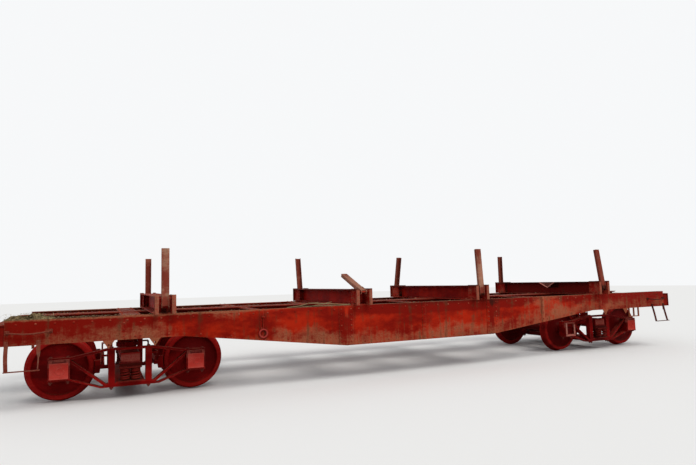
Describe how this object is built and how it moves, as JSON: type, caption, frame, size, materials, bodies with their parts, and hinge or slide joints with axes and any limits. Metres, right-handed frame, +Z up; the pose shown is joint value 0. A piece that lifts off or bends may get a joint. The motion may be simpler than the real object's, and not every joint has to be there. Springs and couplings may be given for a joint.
{
  "type": "log car",
  "caption": "Skeleton log car: fishbelly steel underframe with cross bunks and hinged stakes, on arch bar trucks with turning wheelsets.",
  "frame": {"origin": "centre of the car on the plane of the wheel flanges' lowest points", "axes": "+X along the car towards its right end, +Y across it away from the near side, +Z up"},
  "size_m": [13.294, 3.2319, 2.0673],
  "materials": {
    "oxide_paint": "weathered",
    "truck_paint": "weathered",
    "wheel_paint": "weathered",
    "stake_paint": "weathered",
    "cast_iron": "rusty"
  },
  "bodies": {
    "underframe": {"side_sill_near": "oxide_paint", "side_sill_far": "oxide_paint", "centre_sill": "oxide_paint", "crossbearer_left_outer": "oxide_paint", "crossbearer_left_inner": "oxide_paint", "crossbearer_middle": "oxide_paint", "crossbearer_right_inner": "oxide_paint", "crossbearer_right_outer": "oxide_paint", "bunk_1": "oxide_paint", "bunk_2": "oxide_paint", "bunk_3": "oxide_paint", "bunk_4": "oxide_paint", "end_sill_left": "oxide_paint", "coupler_left": "cast_iron", "body_bolster_left": "oxide_paint", "corner_irons_left_near": "oxide_paint", "corner_irons_left_far": "oxide_paint", "end_sill_right": "oxide_paint", "coupler_right": "cast_iron", "body_bolster_right": "oxide_paint", "corner_irons_right_near": "oxide_paint", "corner_irons_right_far": "oxide_paint"},
    "truck_left": {"side_frame_left_near": "truck_paint", "spring_nest_left_near": "truck_paint", "side_frame_left_far": "truck_paint", "spring_nest_left_far": "truck_paint", "truck_bolster_left": "truck_paint", "spring_plank_left": "truck_paint", "brake_beams_left": "truck_paint"},
    "wheelset_left_outer": {"wheelset_left_outer": "wheel_paint"},
    "wheelset_left_inner": {"wheelset_left_inner": "wheel_paint"},
    "truck_right": {"side_frame_right_near": "truck_paint", "spring_nest_right_near": "truck_paint", "side_frame_right_far": "truck_paint", "spring_nest_right_far": "truck_paint", "truck_bolster_right": "truck_paint", "spring_plank_right": "truck_paint", "brake_beams_right": "truck_paint"},
    "wheelset_right_outer": {"wheelset_right_outer": "wheel_paint"},
    "wheelset_right_inner": {"wheelset_right_inner": "wheel_paint"},
    "stake_1_near": {"stake_1_near": "stake_paint"},
    "stake_1_far": {"stake_1_far": "stake_paint"},
    "stake_2_near": {"stake_2_near": "stake_paint"},
    "stake_2_far": {"stake_2_far": "stake_paint"},
    "stake_3_near": {"stake_3_near": "stake_paint"},
    "stake_3_far": {"stake_3_far": "stake_paint"},
    "stake_4_near": {"stake_4_near": "stake_paint"},
    "stake_4_far": {"stake_4_far": "stake_paint"}
  },
  "joints": [
    {"name": "truck_left_swivel", "type": "hinge", "parent": "underframe", "child": "truck_left", "pos_m": [-4.6, 0, 0.662], "axis": [0, 0, 1], "range_deg": [-12, 12]},
    {"name": "wheelset_left_outer_spin", "type": "hinge", "parent": "truck_left", "child": "wheelset_left_outer", "pos_m": [-5.489, 0, 0.4477], "axis": [0, 1, 0], "continuous": true},
    {"name": "wheelset_left_inner_spin", "type": "hinge", "parent": "truck_left", "child": "wheelset_left_inner", "pos_m": [-3.711, 0, 0.4477], "axis": [0, 1, 0], "continuous": true},
    {"name": "truck_right_swivel", "type": "hinge", "parent": "underframe", "child": "truck_right", "pos_m": [4.6, 0, 0.662], "axis": [0, 0, 1], "range_deg": [-12, 12]},
    {"name": "wheelset_right_outer_spin", "type": "hinge", "parent": "truck_right", "child": "wheelset_right_outer", "pos_m": [5.489, 0, 0.4477], "axis": [0, 1, 0], "continuous": true},
    {"name": "wheelset_right_inner_spin", "type": "hinge", "parent": "truck_right", "child": "wheelset_right_inner", "pos_m": [3.711, 0, 0.4477], "axis": [0, 1, 0], "continuous": true},
    {"name": "stake_1_near_fold", "type": "hinge", "parent": "underframe", "child": "stake_1_near", "pos_m": [-4.188, -1.52, 1.375], "axis": [-1, 0, 0], "range_deg": [-168, 69.43]},
    {"name": "stake_1_far_fold", "type": "hinge", "parent": "underframe", "child": "stake_1_far", "pos_m": [-4.188, 1.52, 1.375], "axis": [1, 0, 0], "range_deg": [-168, 69.43]},
    {"name": "stake_2_near_fold", "type": "hinge", "parent": "underframe", "child": "stake_2_near", "pos_m": [-1.168, -1.52, 1.375], "axis": [-1, 0, 0], "range_deg": [-237.43, 0]},
    {"name": "stake_2_far_fold", "type": "hinge", "parent": "underframe", "child": "stake_2_far", "pos_m": [-1.168, 1.52, 1.375], "axis": [1, 0, 0], "range_deg": [-159, 78.43]},
    {"name": "stake_3_near_fold", "type": "hinge", "parent": "underframe", "child": "stake_3_near", "pos_m": [1.168, -1.52, 1.375], "axis": [-1, 0, 0], "range_deg": [-172, 65.43]},
    {"name": "stake_3_far_fold", "type": "hinge", "parent": "underframe", "child": "stake_3_far", "pos_m": [1.168, 1.52, 1.375], "axis": [1, 0, 0], "range_deg": [-181, 56.43]},
    {"name": "stake_4_near_fold", "type": "hinge", "parent": "underframe", "child": "stake_4_near", "pos_m": [4.188, -1.52, 1.375], "axis": [-1, 0, 0], "range_deg": [-176, 61.43]},
    {"name": "stake_4_far_fold", "type": "hinge", "parent": "underframe", "child": "stake_4_far", "pos_m": [4.188, 1.52, 1.375], "axis": [1, 0, 0], "range_deg": [-168, 69.43]}
  ]
}
